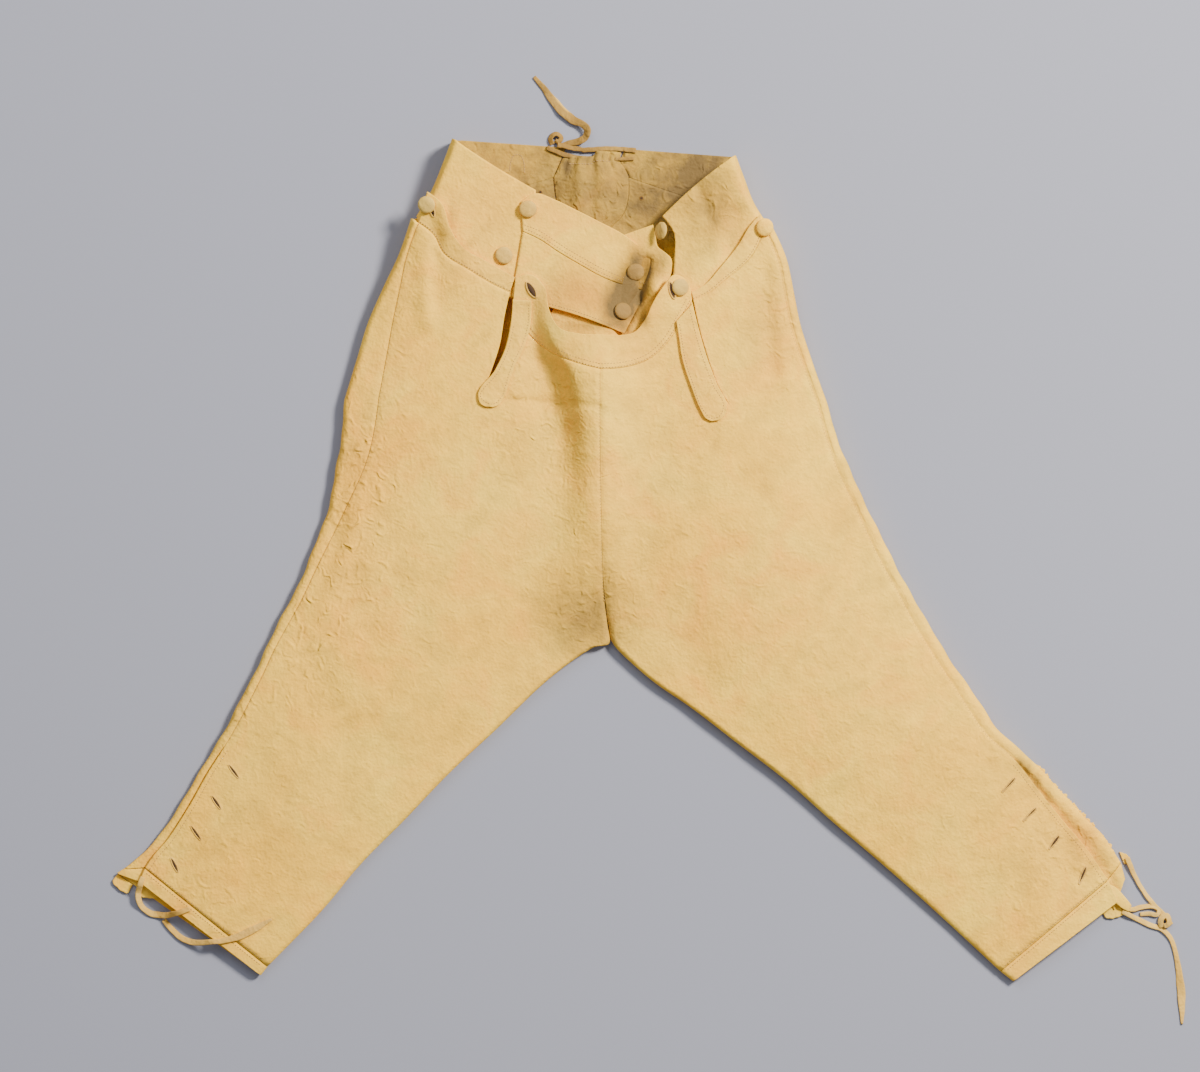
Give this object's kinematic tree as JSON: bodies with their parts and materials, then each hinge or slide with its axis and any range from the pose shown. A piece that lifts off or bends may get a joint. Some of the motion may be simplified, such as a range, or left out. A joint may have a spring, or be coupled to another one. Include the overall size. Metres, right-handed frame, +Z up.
{
  "type": "leather breeches",
  "caption": "Buckskin breeches laid flat, front up, with a fall front, deep waistband, laced back and slit knees with leather ties.",
  "frame": {"origin": "on the surface that the breeches lie on, under the middle of the leather's plan box, ties left out", "axes": "+Z up from the surface, +X to the wearer's left side as the breeches lie front up, +Y towards the waist"},
  "size_m": [1.0753, 0.9507, 0.0415],
  "materials": {
    "buckskin": "matt napped buckskin",
    "band": "matt napped buckskin",
    "button": "buckskin stretched over a core",
    "lace": "cut buckskin thong"
  },
  "bodies": {
    "root": {"back_gusset": "buckskin", "back_lace": "lace", "back_lace_bow": "lace", "back_lace_end": "lace", "back_lace_upper": "lace", "back_left": "buckskin", "back_right": "buckskin", "bearer_band_left": "band", "bearer_left": "buckskin", "bearer_right": "buckskin", "button_bearer_lower": "button", "button_bearer_upper": "button", "button_fall_right": "button", "button_pocket_left": "button", "button_pocket_right": "button", "button_waist_left": "button", "button_waist_right": "button", "button_waist_tongue": "button", "fall_band": "band", "fall_strip_left": "band", "fall_strip_right": "band", "front_left": "buckskin", "front_right": "buckskin", "hem_band_left": "band", "hem_band_right": "band", "knee_leaf_left": "band", "knee_leaf_right": "band", "knee_tab_left": "band", "knee_tab_right": "band", "knee_tie_left_lower": "lace", "knee_tie_left_upper": "lace", "knee_tie_right_loop": "lace", "knee_tie_right_lower": "lace", "knee_tie_right_upper": "lace", "pocket_band_left": "band", "pocket_band_right": "band", "waistband_left": "band", "waistband_right": "band"}
  },
  "joints": []
}
